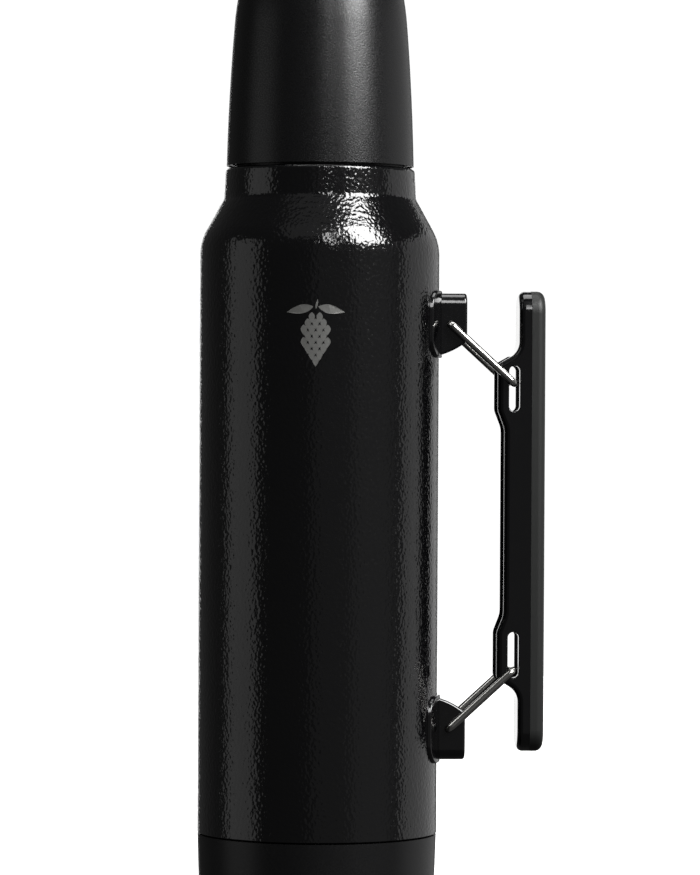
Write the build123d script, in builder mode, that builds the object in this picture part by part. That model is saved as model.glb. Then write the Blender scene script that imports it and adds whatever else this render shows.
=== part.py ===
from build123d import *
import math
import os

os.makedirs("parts", exist_ok=True)

# Axes: +Z is the bottle's axis, +X points at the handle, z = 0 is what the bottle stands on.
# All sizes are in mm.

# --- bottle ---
body_radius = 47.5
steel = 0.6                     # sheet thickness of the pressed steel pieces
seam_z = 25.0                   # top of the base cap
cylinder_top_z = 258.9          # where the cylinder and the shoulder cone would meet
cone_top_radius = 38.1
cone_top_z = 275.9
neck_band_radius = 37.5
neck_band_z = 287.7
neck_radius = 29.1              # outside of the narrow steel neck under the cup
lip_z = 302.1
mouth_radius = 27.7             # inside of the mouth
vessel_radius = 42.1
vessel_floor_z = 14.0
cap_clear = 0.05                # gap left where two fixed pieces meet

# --- screw threads of the cup and of the stopper ---
thread_lead = 12.0
thread_starts = 3
thread_depth = 1.2
cup_thread_root = 33.2
cup_thread_ring = 34.8
plug_radius = 26.1

# --- cup ---
cup_rim_z = 288.6
cup_rim_radius = 37.1
cup_top_z = 364.0

# --- handle and its wire bails ---
handle_mid_z = 146.3            # half-way between the two bail pivots
pivot_x = 51.4
pivot_half_span = 80.0
wire_radius = 1.5
bail_length = 34.33
bail_half_width = 11.9
bail_bend = 1.9
bail_angle = 42.5               # of both bails from the +X axis, at rest
hole_clearance = 0.05
bracket_width = 20.0
bracket_face_x = 58.1
pad_thickness = 1.2
handle_width = 20.0
handle_half_length = 91.4
handle_end_radius = 8.5         # corners of the handle as seen from the +X side
handle_z = 148.3
handle_split_x = 83.85          # where the frame meets the grip
grip_face_x = 89.45
slot_x = 77.0
slot_middle = 52.75             # of each slot, from the middle of the handle
slot_length = 18.1
slot_width = 4.3
frame_edge_round = 2.4
grip_edge_round = 3.0
bracket_far_round = 4.6         # across the top of the upper bracket and the bottom of the lower


def add_thread(root, depth, start_z, rise, phase):
    """Add helical teeth to the part being built: outwards if depth is positive, inwards if not."""
    side = 1 if depth > 0 else -1
    for start in range(thread_starts):
        turn = phase + 360 * start / thread_starts
        with BuildLine(Plane.XY.offset(start_z).rotated((0, 0, turn))) as path:
            Helix(pitch=thread_lead, height=rise, radius=root)
        foot = path.line @ 0
        outward = Vector(foot.X, foot.Y, 0)
        with BuildSketch(Plane(origin=foot, x_dir=outward, z_dir=path.line % 0)) as tooth:
            with BuildLine():
                Polyline(
                    (-0.3 * side, -1.0),
                    (depth, -0.45),
                    (depth, 0.45),
                    (-0.3 * side, 1.0),
                    close=True,
                )
            make_face()
        sweep(sections=tooth.sketch, path=path.line, is_frenet=True)


def add_ring(inner, outer, low, high, mode=Mode.ADD):
    """Add or cut a plain ring about the bottle's axis."""
    with BuildSketch(Plane.XY.offset(low)) as face:
        Circle(outer)
        if inner > 0:
            Circle(inner, mode=Mode.SUBTRACT)
    extrude(face.sketch, amount=high - low, mode=mode)


def save(part, name, colour):
    """Write one finished node."""
    part.label = name
    part.color = Color(colour)
    export_step(part, f"parts/{name}.step")


# ---------------------------------------------------------------- bottle: fixed pieces
# Outer shell: drawn steel, cylinder, cone shoulder, neck band, flat ring and narrow neck.
# Its lowest part steps in behind the base cap.
with BuildPart() as outer_shell:
    with BuildSketch(Plane.XZ):
        with BuildLine():
            FilletPolyline(
                (46.2, 4.0),
                (46.2, seam_z - 0.5),
                (body_radius, seam_z),
                (body_radius, cylinder_top_z),
                (cone_top_radius, cone_top_z),
                (neck_band_radius, neck_band_z),
                (neck_radius, neck_band_z),
                (neck_radius, lip_z),
                radius=[0.3, 0.3, 20.0, 3.5, 1.5, 0.8],
            )
            offset(amount=steel, side=Side.LEFT)
        make_face()
    revolve(axis=Axis.Z)
save(outer_shell.part, "outer_shell", "gray20")

# Inner vessel: drawn stainless steel, welded to the outer shell at the rolled lip.
# The mouth has a rolled female thread for the stopper.
neck_outer = neck_radius - steel - 0.2
with BuildPart() as inner_vessel:
    with BuildSketch(Plane.XZ):
        with BuildLine():
            FilletPolyline(
                (0, vessel_floor_z),
                (vessel_radius, vessel_floor_z),
                (vessel_radius, 254.0),
                (neck_outer, 277.0),
                (neck_outer, lip_z + 0.1),
                (neck_radius, lip_z + 0.1),
                radius=[9.0, 20.0, 6.0, 0.05],
            )
            offset(amount=steel, side=Side.LEFT)
        make_face()
    revolve(axis=Axis.Z)
    add_thread(mouth_radius, -thread_depth, 287.2, 8.0, 0)
save(inner_vessel.part, "inner_vessel", "gray70")

# Copper foil wrapped round the inner vessel, which holds radiant heat back.
with BuildPart() as radiation_foil:
    add_ring(vessel_radius + 0.15, vessel_radius + 0.3, 30.0, 238.0)
save(radiation_foil.part, "radiation_foil", "orange")

# Base plate of the outer shell, with the port the air was drawn out of.
with BuildPart() as shell_base:
    with BuildSketch(Plane.XZ):
        with BuildLine():
            FilletPolyline(
                (3.0, 8.0),
                (14.0, 8.0),
                (20.0, 6.2),
                (45.55, 6.2),
                (45.55, 12.5),
                radius=[2.0, 2.0, 2.5],
            )
            offset(amount=0.8, side=Side.LEFT)
        make_face()
    revolve(axis=Axis.Z)
save(shell_base.part, "shell_base", "gray70")

# Sealing button that closes the port.
with BuildPart() as vacuum_seal:
    with BuildSketch(Plane.XZ):
        with BuildLine():
            Polyline((0, 6.2), (4.6, 6.2), (5.2, 7.0), (5.2, 7.95), (0, 7.95), close=True)
        make_face()
    revolve(axis=Axis.Z)
save(vacuum_seal.part, "vacuum_seal", "tan")

# Getter pill on the base plate, inside the vacuum.
with BuildPart() as getter:
    with BuildSketch(Plane.XY.offset(7.05)):
        with Locations((31.0, 0)):
            Circle(4.0)
    extrude(amount=2.4)
    fillet(getter.edges().group_by(Axis.Z)[-1], 0.6)
save(getter.part, "getter", "gray50")

# Base cap: moulded cup pressed over the bottom of the shell, flush with it at the seam.
with BuildPart() as base_cap:
    with BuildSketch(Plane.XZ):
        with BuildLine():
            Polyline(
                (0, 1.0),
                (46.45, 1.0),
                (46.95, 12.0),
                (47.35, seam_z - 0.7),
                (46.3, seam_z - 0.7),
                (46.3, 3.9),
                (0, 3.9),
                close=True,
            )
        make_face()
    revolve(axis=Axis.Z)
    fillet(base_cap.edges().group_by(Axis.Z)[0], 3.4)
    add_ring(0, 40.1, 1.0, 2.2, Mode.SUBTRACT)
save(base_cap.part, "base_cap", "black")

# Non-slip pad let into the base cap; the bottle stands on it.
with BuildPart() as base_pad:
    add_ring(0, 40.0, 0, 2.15)
    for ring in range(4):
        add_ring(34.5 - 7 * ring, 35.5 - 7 * ring, 0, 0.5, Mode.SUBTRACT)
    fillet(base_pad.edges().group_by(Axis.Z)[0].sort_by(SortBy.RADIUS)[-1], 0.5)
save(base_pad.part, "base_pad", "gray15")

# Neck collar: moulded ring on the steel neck that carries the cup's male thread.
with BuildPart() as neck_collar:
    add_ring(neck_radius + cap_clear, cup_thread_root, neck_band_z + cap_clear, 298.2)
    chamfer(neck_collar.edges().group_by(Axis.Z)[-1].sort_by(SortBy.RADIUS)[-1], 0.6)
    chamfer(neck_collar.edges().group_by(Axis.Z)[0].sort_by(SortBy.RADIUS)[0], 1.0)
    add_thread(cup_thread_root, thread_depth, 289.6, 6.4, 0)
save(neck_collar.part, "neck_collar", "gray15")

# Bracket pads and brackets, one pair above and one below, mirror images of each other.
for side, place in ((1, "upper"), (-1, "lower")):
    pad_z = handle_mid_z + side * 79.95
    with BuildPart() as bracket_pad:
        add_ring(body_radius + cap_clear, body_radius + pad_thickness, pad_z - 14, pad_z + 14)
        with BuildSketch(Plane.YZ.offset(30.0)):
            with Locations((0, pad_z)):
                RectangleRounded(44.0, 26.7, 8.0)
        extrude(amount=30.0, mode=Mode.INTERSECT)
        rim = bracket_pad.faces().sort_by(Axis.X)[-1].edges()
        fillet(rim, 0.55)
    save(bracket_pad.part, f"{place}_bracket_pad", "gray10")

    pivot_z = handle_mid_z + side * pivot_half_span
    with BuildPart() as bracket:
        with BuildSketch(Plane.XZ):
            with BuildLine():
                ThreePointArc(
                    (44.0, handle_mid_z + side * 67.0),
                    (52.0, handle_mid_z + side * 69.5),
                    (bracket_face_x, handle_mid_z + side * 73.3),
                )
                Polyline(
                    (bracket_face_x, handle_mid_z + side * 73.3),
                    (bracket_face_x, handle_mid_z + side * 92.4),
                    (44.0, handle_mid_z + side * 92.4),
                    (44.0, handle_mid_z + side * 67.0),
                )
            make_face()
        extrude(amount=bracket_width / 2, both=True)
        far_edges = bracket.edges().filter_by(
            lambda edge: abs(edge.center().Z - handle_mid_z - side * 92.4) < 0.01
            and abs(abs(edge.center().Y) - bracket_width / 2) < 0.01
        )
        fillet(far_edges, bracket_far_round)
        face_edges = bracket.edges().filter_by(
            lambda edge: abs(edge.center().X - bracket_face_x) < 0.01 or (
                edge.center().X > 47 and abs(edge.center().Z - handle_mid_z - side * 70.0) < 3.0
            )
        )
        fillet(face_edges, 1.1)
        add_ring(0, body_radius + pad_thickness + cap_clear, 40, 260, Mode.SUBTRACT)
        with BuildSketch(Plane.YZ.offset(40.0)):
            with Locations((0, handle_mid_z + side * 81.6)):
                Rectangle(14.0, 15.5)
        extrude(amount=55.6 - 40.0, mode=Mode.SUBTRACT)
        with BuildSketch(Plane.XZ.offset(-15.0)):
            with Locations((pivot_x, pivot_z)):
                Circle(wire_radius + hole_clearance)
        extrude(amount=30.0, mode=Mode.SUBTRACT)
    save(bracket.part, f"{place}_bracket", "gray10")

    # Bail: one bent wire, its two stubs turning in the bracket and its cross-bar in the slots.
    lean = math.radians(bail_angle)
    along = Vector(math.cos(lean), 0, -side * math.sin(lean))
    bail_plane = Plane(
        origin=(pivot_x, 0, pivot_z), x_dir=along, z_dir=along.cross(Vector(0, 1, 0))
    )
    with BuildPart() as bail:
        with BuildLine(bail_plane) as wire:
            FilletPolyline(
                (0, 7.3),
                (0, bail_half_width),
                (bail_length, bail_half_width),
                (bail_length, -bail_half_width),
                (0, -bail_half_width),
                (0, -7.3),
                radius=bail_bend,
            )
        with BuildSketch(Plane(origin=wire.line @ 0, z_dir=wire.line % 0)):
            Circle(wire_radius)
        sweep(path=wire.line)
    save(bail.part, f"{place}_bail", "gray80")


# ---------------------------------------------------------------- handle
def round_ends():
    """Trim the part being built to the handle's outline as seen from the +X side."""
    with BuildSketch(Plane.YZ.offset(60.0)) as outline:
        with Locations((0, handle_z)):
            RectangleRounded(handle_width, 2 * handle_half_length, handle_end_radius)
    extrude(outline.sketch, amount=40.0, mode=Mode.INTERSECT)


# Handle frame: moulded channel, open towards the bottle, with a lobe and a slot for each bail.
with BuildPart() as handle_frame:
    with BuildSketch(Plane.XZ):
        with BuildLine():
            FilletPolyline(
                (handle_split_x, handle_z + handle_half_length + 1),
                (79.05, handle_z + handle_half_length + 1),
                (79.05, handle_z + 67.4),
                (70.5, handle_z + 62.4),
                (70.5, handle_z + 44.0),
                (73.2, handle_z + 37.0),
                (73.2, handle_z - 37.0),
                (70.5, handle_z - 44.0),
                (70.5, handle_z - 62.4),
                (79.05, handle_z - 67.4),
                (79.05, handle_z - handle_half_length - 1),
                (handle_split_x, handle_z - handle_half_length - 1),
                radius=[0.2, 7.0, 3.0, 5.0, 9.0, 9.0, 5.0, 3.0, 7.0, 0.2],
            )
            Line(
                (handle_split_x, handle_z - handle_half_length - 1),
                (handle_split_x, handle_z + handle_half_length + 1),
            )
        make_face()
    extrude(amount=handle_width / 2, both=True)
    round_ends()
    inner_loop = handle_frame.edges().filter_by(
        lambda edge: edge.bounding_box().max.X < handle_split_x - 0.1
        and (
            abs(abs(edge.center().Y) - handle_width / 2) < 0.01
            or abs(edge.center().Z - handle_z) > handle_half_length - handle_end_radius - 0.1
        )
        and edge.bounding_box().size.X < 12
    )
    fillet(inner_loop, frame_edge_round)
    with BuildSketch(Plane.YZ.offset(60.0)):
        with Locations((0, handle_z)):
            RectangleRounded(14.0, 2 * 65.5, 1.5)
    extrude(amount=handle_split_x - 3.6 - 60.0, mode=Mode.SUBTRACT)
    with BuildSketch(Plane.XZ.offset(-15.0)):
        with Locations((slot_x, handle_z + slot_middle), (slot_x, handle_z - slot_middle)):
            SlotOverall(slot_length, slot_width, rotation=90)
    extrude(amount=30.0, mode=Mode.SUBTRACT)
    slot_rims = handle_frame.edges().filter_by(
        lambda edge: abs(abs(edge.center().Y) - handle_width / 2) < 0.01
        and abs(edge.center().X - slot_x) < 2.6
        and abs(abs(edge.center().Z - handle_z) - slot_middle) < slot_length / 2
    )
    fillet(slot_rims, 0.5)
    with BuildSketch(Plane.YZ.offset(75.0)):
        with Locations((0, handle_z + 30.0), (0, handle_z - 30.0)):
            Circle(1.6)
    extrude(amount=15.0, mode=Mode.SUBTRACT)
save(handle_frame.part, "handle_frame", "gray10")

# Grip: matte moulded strip on the outside of the frame.
with BuildPart() as handle_grip:
    with BuildSketch(Plane.YZ.offset(handle_split_x + cap_clear)):
        with Locations((0, handle_z)):
            RectangleRounded(handle_width, 2 * handle_half_length, handle_end_radius)
    extrude(amount=grip_face_x - handle_split_x - cap_clear)
    fillet(handle_grip.faces().sort_by(Axis.X)[-1].edges(), grip_edge_round)
    with BuildSketch(Plane.YZ.offset(80.0)):
        with Locations((0, handle_z + 30.0), (0, handle_z - 30.0)):
            Circle(1.55)
    extrude(amount=7.8, mode=Mode.SUBTRACT)
save(handle_grip.part, "handle_grip", "gray25")

# Two screws that hold the grip to the frame, their heads in the channel.
with BuildPart() as grip_screws:
    with BuildSketch(Plane.YZ.offset(handle_split_x - 5.45)) as heads:
        with Locations((0, handle_z + 30.0), (0, handle_z - 30.0)):
            Circle(2.8)
    extrude(amount=1.8)
    chamfer(grip_screws.edges().filter_by(GeomType.CIRCLE).group_by(Axis.X)[0], 0.5)
    with BuildSketch(Plane.YZ.offset(handle_split_x - 3.65)) as shanks:
        with Locations((0, handle_z + 30.0), (0, handle_z - 30.0)):
            Circle(1.5)
    extrude(amount=7.4)
    with BuildSketch(Plane.YZ.offset(handle_split_x - 5.45)):
        with Locations((0, handle_z + 30.0), (0, handle_z - 30.0)):
            Rectangle(3.2, 0.7)
            Rectangle(0.7, 3.2)
    extrude(amount=0.9, mode=Mode.SUBTRACT)
save(grip_screws.part, "grip_screws", "gray70")


# ---------------------------------------------------------------- cup
def cup_curve(inset, low_z, low_radius):
    """Outline of the cup, set in by the given distance, from its open end to its centre."""
    side = ThreePointArc((low_radius, low_z), (36.05 - inset, 317.0), (34.2 - inset, 345.0))
    shoulder = TangentArc((34.2 - inset, 345.0), (33.0 - inset, 354.7 - inset), tangent=side % 1)
    turn = TangentArc(shoulder @ 1, (22.2 - inset, cup_top_z - inset), tangent=shoulder % 1)
    flat = Line(turn @ 1, (0, cup_top_z - inset))
    return [side, shoulder, turn, flat]


# Cup shell: drawn steel, tapering to a rounded end; upside down it is the drinking cup.
with BuildPart() as cup_shell:
    with BuildSketch(Plane.XZ):
        with BuildLine():
            add(cup_curve(0, cup_rim_z, cup_rim_radius))
            offset(amount=steel, side=Side.LEFT)
        make_face()
    revolve(axis=Axis.Z)
save(cup_shell.part, "cup_shell", "gray10")

# Cup liner: the wall that is drunk from, with an air gap behind it.
with BuildPart() as cup_liner:
    with BuildSketch(Plane.XZ):
        with BuildLine():
            add(cup_curve(1.8, 302.1, 34.85))
            offset(amount=steel, side=Side.LEFT)
        make_face()
    revolve(axis=Axis.Z)
save(cup_liner.part, "cup_liner", "gray75")

# Cup collar: moulded ring in the cup's rim with the female thread and the gasket's groove.
with BuildPart() as cup_collar:
    add_ring(cup_thread_ring, 36.0, 289.2, 302.0)
    add_ring(0, 35.4, 298.3, 300.4, Mode.SUBTRACT)
    add_thread(cup_thread_ring, -thread_depth, 291.0, 5.6, 120 * (291.0 - 289.6 - 2.0) / 4.0)
save(cup_collar.part, "cup_collar", "gray20")

# Cup gasket: loose ring in the collar's groove; it lifts with the cup but doesn't turn.
with BuildPart() as cup_gasket:
    add_ring(30.6, 35.2, 298.5, 300.1)
    fillet(cup_gasket.edges(), 0.5)
save(cup_gasket.part, "cup_gasket", "gray40")


# ---------------------------------------------------------------- stopper
plug_floor_z = 280.0
head_radius = 29.4
# Stopper body: threaded plug and scalloped head in one moulding.
with BuildPart() as stopper_body:
    add_ring(0, plug_radius, plug_floor_z, 304.9)
    add_ring(0, head_radius, 304.85, 315.2)
    with BuildSketch(Plane.XY.offset(306.4)):
        with PolarLocations(head_radius + 2.4, 18):
            Circle(3.2)
    extrude(amount=12.0, mode=Mode.SUBTRACT)
    add_ring(0, 25.2, 313.8, 320.0, Mode.SUBTRACT)
    add_ring(0, 23.4, plug_floor_z + 2.4, 313.9, Mode.SUBTRACT)
    chamfer(stopper_body.edges().group_by(Axis.Z)[0], 1.2)
    add_thread(plug_radius, thread_depth, 286.0, 7.6, 120 * (286.0 - 287.2 + 2.0) / 4.0)
save(stopper_body.part, "stopper_body", "gray15")

# Stopper core: foam puck that fills the plug.
with BuildPart() as stopper_core:
    add_ring(0, 23.2, plug_floor_z + 2.6, 313.0)
save(stopper_core.part, "stopper_core", "white")

# Stopper cover: pressed steel disc snapped into the top of the head.
with BuildPart() as stopper_cover:
    with BuildSketch(Plane.XZ):
        with BuildLine():
            FilletPolyline(
                (0, 314.4),
                (20.5, 314.4),
                (22.0, 315.6),
                (24.55, 315.6),
                (24.55, 313.9),
                radius=[0.8, 0.8, 0.7],
            )
            offset(amount=0.5, side=Side.LEFT)
        make_face()
    revolve(axis=Axis.Z)
save(stopper_cover.part, "stopper_cover", "gray75")

# Stopper seal: loose ring under the head; it lifts with the stopper but doesn't turn.
with BuildPart() as stopper_seal:
    add_ring(plug_radius + 0.15, 29.2, 302.9, 304.75)
    fillet(stopper_seal.edges(), 0.6)
save(stopper_seal.part, "stopper_seal", "gray40")
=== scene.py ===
import math

import bmesh
import bpy
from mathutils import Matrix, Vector


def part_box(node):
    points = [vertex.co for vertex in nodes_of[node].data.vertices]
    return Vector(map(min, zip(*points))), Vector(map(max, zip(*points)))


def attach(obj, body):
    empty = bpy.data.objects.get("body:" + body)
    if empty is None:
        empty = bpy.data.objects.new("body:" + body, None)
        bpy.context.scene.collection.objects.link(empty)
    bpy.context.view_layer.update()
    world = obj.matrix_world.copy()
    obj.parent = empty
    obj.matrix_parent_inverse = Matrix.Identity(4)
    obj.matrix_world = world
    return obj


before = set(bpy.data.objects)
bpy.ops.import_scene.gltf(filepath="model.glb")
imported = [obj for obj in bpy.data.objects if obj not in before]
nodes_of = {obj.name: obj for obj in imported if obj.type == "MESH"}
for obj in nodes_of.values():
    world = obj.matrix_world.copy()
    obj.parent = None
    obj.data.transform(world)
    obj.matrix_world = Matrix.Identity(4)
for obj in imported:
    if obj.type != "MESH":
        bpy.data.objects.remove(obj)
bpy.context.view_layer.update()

# ------------------------------------------------------------------ outer shell
# The bottle's outer shell: deep-drawn steel, finished in black hammertone paint.
# The paint pulls into small shiny cells as it dries, over the whole shell and its neck band.
MM = 0.001


def srgb(hex_colour):
    """Linear RGBA of an sRGB hex colour."""
    channels = [int(hex_colour[i:i + 2], 16) / 255 for i in (1, 3, 5)]
    return [c / 12.92 if c <= 0.04045 else ((c + 0.055) / 1.055) ** 2.4 for c in channels] + [1.0]


def add_node(tree, kind, settings=None, links=None, **properties):
    """Add one shader node. Settings are socket values, links are the sockets that feed it."""
    node = tree.nodes.new(kind)
    for name, value in properties.items():
        setattr(node, name, value)
    for name, value in (settings or {}).items():
        node.inputs[name].default_value = value
    for name, source in (links or {}).items():
        tree.links.new(source, node.inputs[name])
    return node


def new_material(name, **settings):
    """A material with its shader and object coordinates in metres, ready for its pattern."""
    material = bpy.data.materials.new(name)
    material.use_nodes = True
    tree = material.node_tree
    tree.nodes.clear()
    shader = add_node(tree, "ShaderNodeBsdfPrincipled")
    for socket, value in settings.items():
        shader.inputs[socket.replace("_", " ")].default_value = value
    add_node(tree, "ShaderNodeOutputMaterial", links={"Surface": shader.outputs["BSDF"]})
    place = add_node(tree, "ShaderNodeTexCoord").outputs["Object"]
    return material, tree, shader, place


def lay_pattern(tree, shader, pattern, relief=0.0, roughness=None, colours=None, span=(0.3, 0.7)):
    """Let one pattern drive a finish: its relief in metres, its roughness and its two colours.

    The part of the pattern within span covers the whole range of roughness.
    """
    if relief:
        bump = add_node(
            tree, "ShaderNodeBump", {"Strength": 1.0, "Distance": relief}, {"Height": pattern})
        tree.links.new(bump.outputs["Normal"], shader.inputs["Normal"])
    if roughness:
        gloss = add_node(
            tree, "ShaderNodeMapRange",
            {"From Min": span[0], "From Max": span[1], "To Min": roughness[0], "To Max": roughness[1]},
            {"Value": pattern})
        tree.links.new(gloss.outputs["Result"], shader.inputs["Roughness"])
    if colours:
        tint = add_node(
            tree, "ShaderNodeMix", {6: srgb(colours[0]), 7: srgb(colours[1])}, {0: pattern},
            data_type="RGBA")
        tree.links.new(tint.outputs[2], shader.inputs["Base Color"])


def finish(material, *names):
    """Give carried-over CAD nodes their finished material."""
    for name in names:
        mesh = nodes_of[name].data
        mesh.materials.clear()
        mesh.materials.append(material)


# Hammertone enamel: stoved paint with silicone that draws it into cells over a millimetre across.
# The cells are smooth, so each catches its own small bright glint, and the coat follows them too.
HAMMER_CELL = 1.2 * MM
HAMMER_DEPTH = 0.115 * MM
CELL_WANDER = 0.8 * MM
CELL_SQUEEZE = (1.0, 1.0, 0.85)
hammertone, tree, shader, place = new_material(
    "hammertone_enamel", IOR=1.5, Roughness=0.14, Coat_Weight=0.6, Coat_Roughness=0.04)
shader.inputs["Base Color"].default_value = srgb("#060607")
swirl = add_node(
    tree, "ShaderNodeTexNoise", {"Scale": 0.45 / HAMMER_CELL, "Detail": 1.0}, {"Vector": place})
wander = add_node(
    tree, "ShaderNodeVectorMath", {"Scale": CELL_WANDER}, {0: swirl.outputs["Color"]}, operation="SCALE")
squeezed = add_node(
    tree, "ShaderNodeVectorMath", {1: CELL_SQUEEZE}, {0: place}, operation="MULTIPLY")
shifted = add_node(
    tree, "ShaderNodeVectorMath", {}, {0: squeezed.outputs[0], 1: wander.outputs[0]}, operation="ADD")
cells = add_node(
    tree, "ShaderNodeTexVoronoi", {"Scale": 1 / HAMMER_CELL, "Smoothness": 0.7},
    {"Vector": shifted.outputs[0]}, feature="SMOOTH_F1")
ripple = add_node(
    tree, "ShaderNodeTexNoise", {"Scale": 0.9 / HAMMER_CELL, "Detail": 2.0, "Roughness": 0.45},
    {"Vector": squeezed.outputs[0]})
low_ripple = add_node(
    tree, "ShaderNodeMath", {1: 0.8}, {0: ripple.outputs["Fac"]}, operation="MULTIPLY")
surface = add_node(
    tree, "ShaderNodeMath", {}, {0: cells.outputs["Distance"], 1: low_ripple.outputs[0]}, operation="ADD")
hammered = add_node(
    tree, "ShaderNodeBump", {"Strength": 1.0, "Distance": HAMMER_DEPTH}, {"Height": surface.outputs[0]})
tree.links.new(hammered.outputs["Normal"], shader.inputs["Normal"])
tree.links.new(hammered.outputs["Normal"], shader.inputs["Coat Normal"])
lay_pattern(tree, shader, ripple.outputs["Fac"], roughness=(0.09, 0.19))
finish(hammertone, "outer_shell")

# ------------------------------------------------------------------ brackets
# Bracket pads and housings: pressed steel, spot-welded to the shell and painted with it.
# The same black enamel lies flatter here, with only a slight orange peel.
PEEL = 1.6 * MM
gloss_enamel, tree, shader, place = new_material(
    "gloss_enamel", IOR=1.5, Roughness=0.12, Coat_Weight=0.6, Coat_Roughness=0.04)
shader.inputs["Base Color"].default_value = srgb("#060607")
peel = add_node(tree, "ShaderNodeTexNoise", {"Scale": 1 / PEEL, "Detail": 2.0}, {"Vector": place})
lay_pattern(tree, shader, peel.outputs["Fac"], relief=0.05 * MM, roughness=(0.1, 0.2))
finish(gloss_enamel, "upper_bracket_pad", "lower_bracket_pad", "upper_bracket", "lower_bracket")

# ------------------------------------------------------------------ moulded plastic
# Base cap and neck collar, pressed on, and the cup's collar and the stopper's body.
# All are injection-moulded polypropylene, matte from a fine spark-eroded grain in the mould.
MOULD_GRAIN = 0.45 * MM
moulded_pp, tree, shader, place = new_material("moulded_polypropylene", IOR=1.49, Roughness=0.36)
shader.inputs["Base Color"].default_value = srgb("#0c0c0d")
grain = add_node(tree, "ShaderNodeTexNoise", {"Scale": 1 / MOULD_GRAIN, "Detail": 3.0}, {"Vector": place})
lay_pattern(tree, shader, grain.outputs["Fac"], relief=0.02 * MM, roughness=(0.28, 0.42))
finish(moulded_pp, "base_cap", "neck_collar", "stopper_body", "cup_collar")

# ------------------------------------------------------------------ base pad
# Base pad: compression-moulded rubber let into the base cap, which the bottle stands on.
# Rubber is dull and slightly dusty, with soft blotches.
DUST_BLOTCH = 6 * MM
rubber, tree, shader, place = new_material("moulded_rubber", IOR=1.52, Roughness=0.8)
dust = add_node(tree, "ShaderNodeTexNoise", {"Scale": 1 / DUST_BLOTCH, "Detail": 5.0}, {"Vector": place})
lay_pattern(
    tree, shader, dust.outputs["Fac"], roughness=(0.7, 0.9), colours=("#1a1a1a", "#262625"), span=(0, 1))
finish(rubber, "base_pad")

# ------------------------------------------------------------------ vessel and bare steel
# Inner vessel, base plate, cup liner, stopper cover and grip screws: bare stainless steel.
# They are drawn, spun or turned, which leaves fine rings round the axis that spread the highlight.
RING_PITCH = 0.35 * MM
RING_LENGTH = 9 * MM
stainless, tree, shader, place = new_material("spun_stainless_steel", Metallic=1.0, Roughness=0.28)
shader.inputs["Base Color"].default_value = srgb("#c4c2bd")
rings = add_node(
    tree, "ShaderNodeVectorMath", {1: (1 / RING_LENGTH, 1 / RING_LENGTH, 1 / RING_PITCH)},
    {0: place}, operation="MULTIPLY")
brush = add_node(tree, "ShaderNodeTexNoise", {"Scale": 1.0, "Detail": 2.0}, {"Vector": rings.outputs[0]})
lay_pattern(tree, shader, brush.outputs["Fac"], relief=0.008 * MM, roughness=(0.2, 0.38))
finish(stainless, "inner_vessel", "shell_base", "cup_liner", "stopper_cover", "grip_screws")

# ------------------------------------------------------------------ radiation foil
# Thin rolled copper, wrapped round the inner vessel by hand, which holds radiant heat back.
# It is bright and creases a little where it was wrapped.
FOIL_CREASE = 8 * MM
copper_foil, tree, shader, place = new_material("rolled_copper_foil", Metallic=1.0, Roughness=0.25)
shader.inputs["Base Color"].default_value = srgb("#c98a63")
crease = add_node(tree, "ShaderNodeTexNoise", {"Scale": 1 / FOIL_CREASE, "Detail": 4.0}, {"Vector": place})
lay_pattern(tree, shader, crease.outputs["Fac"], relief=0.2 * MM)
finish(copper_foil, "radiation_foil")

# ------------------------------------------------------------------ getter and vacuum seal
# Getter pill of sintered metal, and sealing button of fused solder glass, on the base plate.
# Both are dull and mottled.
SPECK = 0.8 * MM
for name, material_name, colours in (
    ("getter", "sintered_getter", ("#4a4a4c", "#6a6a6b")),
    ("vacuum_seal", "solder_glass", ("#6d7a80", "#93a0a4")),
):
    mottled, tree, shader, place = new_material(material_name, Roughness=0.55)
    speck = add_node(tree, "ShaderNodeTexNoise", {"Scale": 1 / SPECK, "Detail": 3.0}, {"Vector": place})
    lay_pattern(tree, shader, speck.outputs["Fac"], colours=colours)
    finish(mottled, name)

# ------------------------------------------------------------------ bails
# Upper and lower bail: 3 mm spring wire, bent cold and nickel-plated.
# Drawing the wire leaves it faintly uneven, and the plating is bright.
WIRE_UNEVENNESS = 0.7 * MM
nickel, tree, shader, place = new_material("nickel_plated_wire", Metallic=1.0, Roughness=0.14)
shader.inputs["Base Color"].default_value = srgb("#d9d8d4")
draw = add_node(
    tree, "ShaderNodeTexNoise", {"Scale": 1 / WIRE_UNEVENNESS, "Detail": 2.0}, {"Vector": place})
lay_pattern(tree, shader, draw.outputs["Fac"], relief=0.003 * MM, roughness=(0.08, 0.22))
finish(nickel, "upper_bail", "lower_bail")

# ------------------------------------------------------------------ handle frame
# Injection-moulded glass-filled nylon channel, with a slot in each lobe for a bail.
# Its skin is polished and glossy, and faintly wavy where the plastic flowed.
FLOW_WAVE = 5 * MM
gloss_nylon, tree, shader, place = new_material(
    "polished_nylon", IOR=1.53, Roughness=0.1, Coat_Weight=0.5, Coat_Roughness=0.05)
shader.inputs["Base Color"].default_value = srgb("#060607")
flow = add_node(tree, "ShaderNodeTexNoise", {"Scale": 1 / FLOW_WAVE, "Detail": 3.0}, {"Vector": place})
lay_pattern(tree, shader, flow.outputs["Fac"], relief=0.05 * MM, roughness=(0.08, 0.16))
finish(gloss_nylon, "handle_frame")

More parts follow.
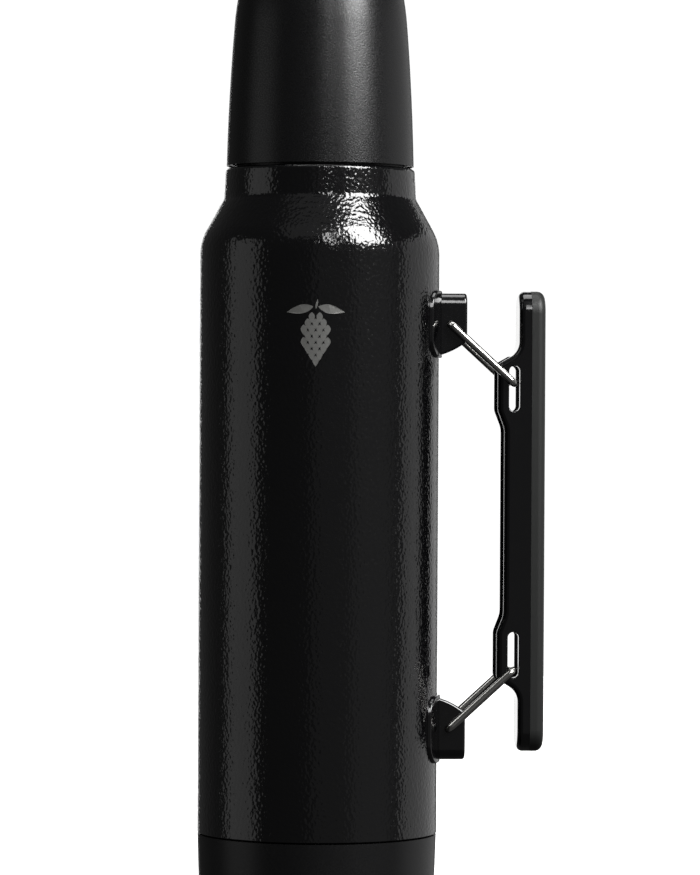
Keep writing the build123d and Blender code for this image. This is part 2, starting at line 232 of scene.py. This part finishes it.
# ------------------------------------------------------------------ grip
# Thermoplastic elastomer strip, moulded with a fine grain and screwed to the frame.
# It is dark grey and matte.
GRIP_GRAIN = 0.4 * MM
grip_tpe, tree, shader, place = new_material("grained_elastomer", IOR=1.46, Roughness=0.45)
grain = add_node(tree, "ShaderNodeTexNoise", {"Scale": 1 / GRIP_GRAIN, "Detail": 3.0}, {"Vector": place})
lay_pattern(tree, shader, grain.outputs["Fac"], relief=0.03 * MM, colours=("#1b1c1b", "#282928"))
finish(grip_tpe, "handle_grip")

# ------------------------------------------------------------------ cup
# Cup shell: drawn steel, powder-coated black and baked.
# The powder melts to a satin skin; its grain is drawn a little coarse, so that it shows.
POWDER_GRAIN = 0.5 * MM
powder_coat, tree, shader, place = new_material("satin_powder_coat", IOR=1.5, Roughness=0.38)
shader.inputs["Base Color"].default_value = srgb("#0c0c0d")
grit = add_node(tree, "ShaderNodeTexNoise", {"Scale": 1 / POWDER_GRAIN, "Detail": 2.0}, {"Vector": place})
lay_pattern(tree, shader, grit.outputs["Fac"], relief=0.065 * MM, roughness=(0.23, 0.36))
finish(powder_coat, "cup_shell")

# ------------------------------------------------------------------ gasket and seal
# Cup gasket and stopper seal: moulded silicone rubber rings, loose in their grooves.
# Silicone is grey and slightly cloudy.
SILICONE_CLOUD = 3 * MM
silicone, tree, shader, place = new_material("moulded_silicone", IOR=1.43, Roughness=0.45)
cloud = add_node(
    tree, "ShaderNodeTexNoise", {"Scale": 1 / SILICONE_CLOUD, "Detail": 3.0}, {"Vector": place})
lay_pattern(tree, shader, cloud.outputs["Fac"], colours=("#8b8b88", "#a3a39f"))
finish(silicone, "cup_gasket", "stopper_seal")

# ------------------------------------------------------------------ stopper core
# Rigid polyurethane foam puck that fills the stopper's plug.
# It is cream-coloured and pitted, with open cells where it was cut.
FOAM_CELL = 0.9 * MM
foam, tree, shader, place = new_material("cut_polyurethane_foam", Roughness=0.9)
pores = add_node(tree, "ShaderNodeTexVoronoi", {"Scale": 1 / FOAM_CELL}, {"Vector": place})
lay_pattern(tree, shader, pores.outputs["Distance"], colours=("#b8b3a2", "#e6e2d3"))
finish(foam, "stopper_core")

# ------------------------------------------------------------------ front emblem
# A hop cone with two leaves, etched through the paint to the bright steel beneath.
# It is made as a skin that follows the shell's curve, its face just proud of the paint.
EMBLEM_Z = 222 * MM
EMBLEM_HALF = 12 * MM
EMBLEM_TURN = math.radians(-95)
SKIN_FOOT = -0.05 * MM
SKIN_FACE = 0.09 * MM
shell_low, shell_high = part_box("outer_shell")
shell_radius = (shell_high[1] - shell_low[1]) / 2


def leaf_outline(foot, tip, width, steps=14):
    """A pointed leaf between two points, as a closed outline. Lengths are in emblem half-heights."""
    foot, tip = Vector(foot), Vector(tip)
    along = tip - foot
    across = Vector((-along.y, along.x)).normalized() * width
    shares = [i / steps for i in range(steps)]
    right = [foot + along * share + across * math.sin(math.pi * share ** 0.8) for share in shares]
    left = [tip - along * share - across * math.sin(math.pi * (1 - share) ** 0.8) for share in shares]
    return right + left


def on_shell(point, lift):
    """The place on the shell's curve of a point of the emblem, lifted off the steel."""
    angle = EMBLEM_TURN + point.x * EMBLEM_HALF / shell_radius
    radius = shell_radius + lift
    return radius * math.cos(angle), radius * math.sin(angle), EMBLEM_Z + point.y * EMBLEM_HALF


PETALS_IN_ROW = (2, 3, 4, 3, 4, 3, 2, 1)
ROW_STEP = 0.2
PETAL_STEP = 0.26
outlines = []
for row, count in enumerate(PETALS_IN_ROW):
    level = 0.5 - row * ROW_STEP
    for i in range(count):
        across = (i - (count - 1) / 2) * PETAL_STEP
        outlines.append(leaf_outline((across, level + 0.16), (across * 0.94, level - 0.19), 0.1))
for side in (-1, 1):
    outlines.append(leaf_outline((side * 0.08, 0.84), (side * 0.95, 0.66), side * 0.14))
stalk = leaf_outline((0.0, 0.76), (0.07, 1.1), 0.035)
outlines.append(stalk)

emblem_mesh = bmesh.new()
for outline in outlines:
    low, high = [
        [emblem_mesh.verts.new(on_shell(point, lift)) for point in outline]
        for lift in (SKIN_FOOT, SKIN_FACE)
    ]
    for i in range(len(low)):
        j = (i + 1) % len(low)
        emblem_mesh.faces.new((low[i], low[j], high[j], high[i]))
    emblem_mesh.faces.new(high)
    emblem_mesh.faces.new(list(reversed(low)))
bmesh.ops.recalc_face_normals(emblem_mesh, faces=emblem_mesh.faces)
mesh = bpy.data.meshes.new("front_emblem")
emblem_mesh.to_mesh(mesh)
front_emblem = bpy.data.objects.new("front_emblem", mesh)
bpy.context.scene.collection.objects.link(front_emblem)

# Etched steel: the bare metal is frosted by the laser, grey and without a sharp reflection.
ETCH_FROST = 0.4 * MM
etched, tree, shader, place = new_material("etched_steel", Metallic=0.7, Roughness=0.4)
frost = add_node(tree, "ShaderNodeTexNoise", {"Scale": 1 / ETCH_FROST, "Detail": 3.0}, {"Vector": place})
lay_pattern(tree, shader, frost.outputs["Fac"], colours=("#7b7b79", "#959592"))
mesh.materials.append(etched)
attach(front_emblem, "bottle")

# ------------------------------------------------------------------ lights
# A small bright key light high on the right, dim soft boxes at both sides, broad dim fills in front,
# a narrow strip in front and lights behind and overhead for the edges. None shows itself.
AIM_HEIGHT = 0.19


def soft_light(name, turn, rise, distance, width, tall, radiance, aim_z=AIM_HEIGHT):
    """A soft box at a turn from the camera's side and a rise above level, both in degrees."""
    data = bpy.data.lights.new(name, "AREA")
    data.shape = "RECTANGLE"
    data.size, data.size_y = width, tall
    data.energy = radiance * math.pi * width * tall
    light = bpy.data.objects.new(name, data)
    bpy.context.scene.collection.objects.link(light)
    turn, rise = math.radians(turn - 90), math.radians(rise)
    away = Vector((math.cos(turn) * math.cos(rise), math.sin(turn) * math.cos(rise), math.sin(rise)))
    light.location = away * distance + Vector((0, 0, aim_z))
    light.rotation_euler = (-away).to_track_quat("-Z", "Y").to_euler()
    light.visible_camera = False


soft_light("left_soft_box", turn=-81, rise=0, distance=1.0, width=0.62, tall=0.9, radiance=0.33)
soft_light("right_soft_box", turn=120, rise=0, distance=1.0, width=1.5, tall=0.9, radiance=0.38)
soft_light("key_soft_box", turn=46, rise=36, distance=1.2, width=0.55, tall=0.8, radiance=17.0, aim_z=0.25)
soft_light("front_fill", turn=30, rise=0, distance=1.4, width=2.3, tall=1.2, radiance=0.05)
soft_light("front_right_fill", turn=54, rise=0, distance=1.3, width=1.2, tall=1.2, radiance=0.06)
soft_light("front_top_fill", turn=0, rise=50, distance=1.5, width=1.8, tall=0.9, radiance=0.13)
soft_light("front_strip", turn=8.5, rise=30, distance=1.2, width=0.11, tall=0.5, radiance=8.0, aim_z=0.24)
soft_light("back_soft_box", turn=180, rise=8, distance=1.3, width=0.6, tall=1.4, radiance=1.3)
soft_light("top_soft_box", turn=180, rise=82, distance=1.2, width=0.8, tall=0.7, radiance=3.0, aim_z=0.25)

# ------------------------------------------------------------------ floor and room
# A pale paper floor that glows evenly, and a room that is white behind the bottle.
# Neither is mirrored in the dark paint: only the lights are, and a dim grey room.
FLOOR_RADIUS = 3.0
FLOOR_DROP = 0.2 * MM
FLOOR_GLOW = 0.98
ROOM_DIM = 0.045
ROOM_BEHIND = 1.05
floor_mesh = bpy.data.meshes.new("floor")
floor_shape = bmesh.new()
bmesh.ops.create_circle(floor_shape, cap_ends=True, radius=FLOOR_RADIUS, segments=96)
floor_shape.to_mesh(floor_mesh)
floor = bpy.data.objects.new("floor", floor_mesh)
bpy.context.scene.collection.objects.link(floor)
floor.location = (0, 0, -FLOOR_DROP)
paper, tree, shader, place = new_material("pale_floor", Roughness=0.9)
shader.inputs["Base Color"].default_value = srgb("#f2f2f0")
shader.inputs["Emission Color"].default_value = (1, 1, 1, 1)
shader.inputs["Emission Strength"].default_value = FLOOR_GLOW
floor_mesh.materials.append(paper)
floor.visible_glossy = False
floor.visible_diffuse = False

world = bpy.data.worlds.new("studio")
bpy.context.scene.world = world
world.use_nodes = True
tree = world.node_tree
tree.nodes.clear()
room = add_node(tree, "ShaderNodeBackground", {"Color": (1, 1, 1, 1), "Strength": ROOM_DIM})
backdrop = add_node(tree, "ShaderNodeBackground", {"Color": (1, 1, 1, 1), "Strength": ROOM_BEHIND})
ray = add_node(tree, "ShaderNodeLightPath")
both = add_node(
    tree, "ShaderNodeMixShader", {},
    {0: ray.outputs["Is Camera Ray"], 1: room.outputs[0], 2: backdrop.outputs[0]})
add_node(tree, "ShaderNodeOutputWorld", {}, {"Surface": both.outputs[0]})
bpy.context.scene.view_settings.view_transform = "Standard"

# ------------------------------------------------------------------ camera
# Level with the middle of the bottle and far back, a little to the left of square-on.
# It aims to the right of the axis, because the handle is there, and is rolled very slightly.
CAMERA_DISTANCE = 1.667
CAMERA_HEIGHT = 0.1942
CAMERA_TURN = math.radians(-3.3)
CAMERA_ROLL = math.radians(0.31)
AIM_RIGHT = 0.0124
AIM_UP = 0.1813
camera_data = bpy.data.cameras.new("camera")
camera_data.sensor_width = 36
camera_data.lens = 172.8
camera = bpy.data.objects.new("camera", camera_data)
bpy.context.scene.collection.objects.link(camera)
camera.location = (
    CAMERA_DISTANCE * math.sin(CAMERA_TURN), -CAMERA_DISTANCE * math.cos(CAMERA_TURN), CAMERA_HEIGHT)
right = Vector((math.cos(CAMERA_TURN), math.sin(CAMERA_TURN), 0))
target = right * AIM_RIGHT + Vector((0, 0, AIM_UP))
camera.rotation_euler = (target - camera.location).to_track_quat("-Z", "Y").to_euler()
camera.rotation_euler.rotate_axis("Z", CAMERA_ROLL)
bpy.context.scene.camera = camera
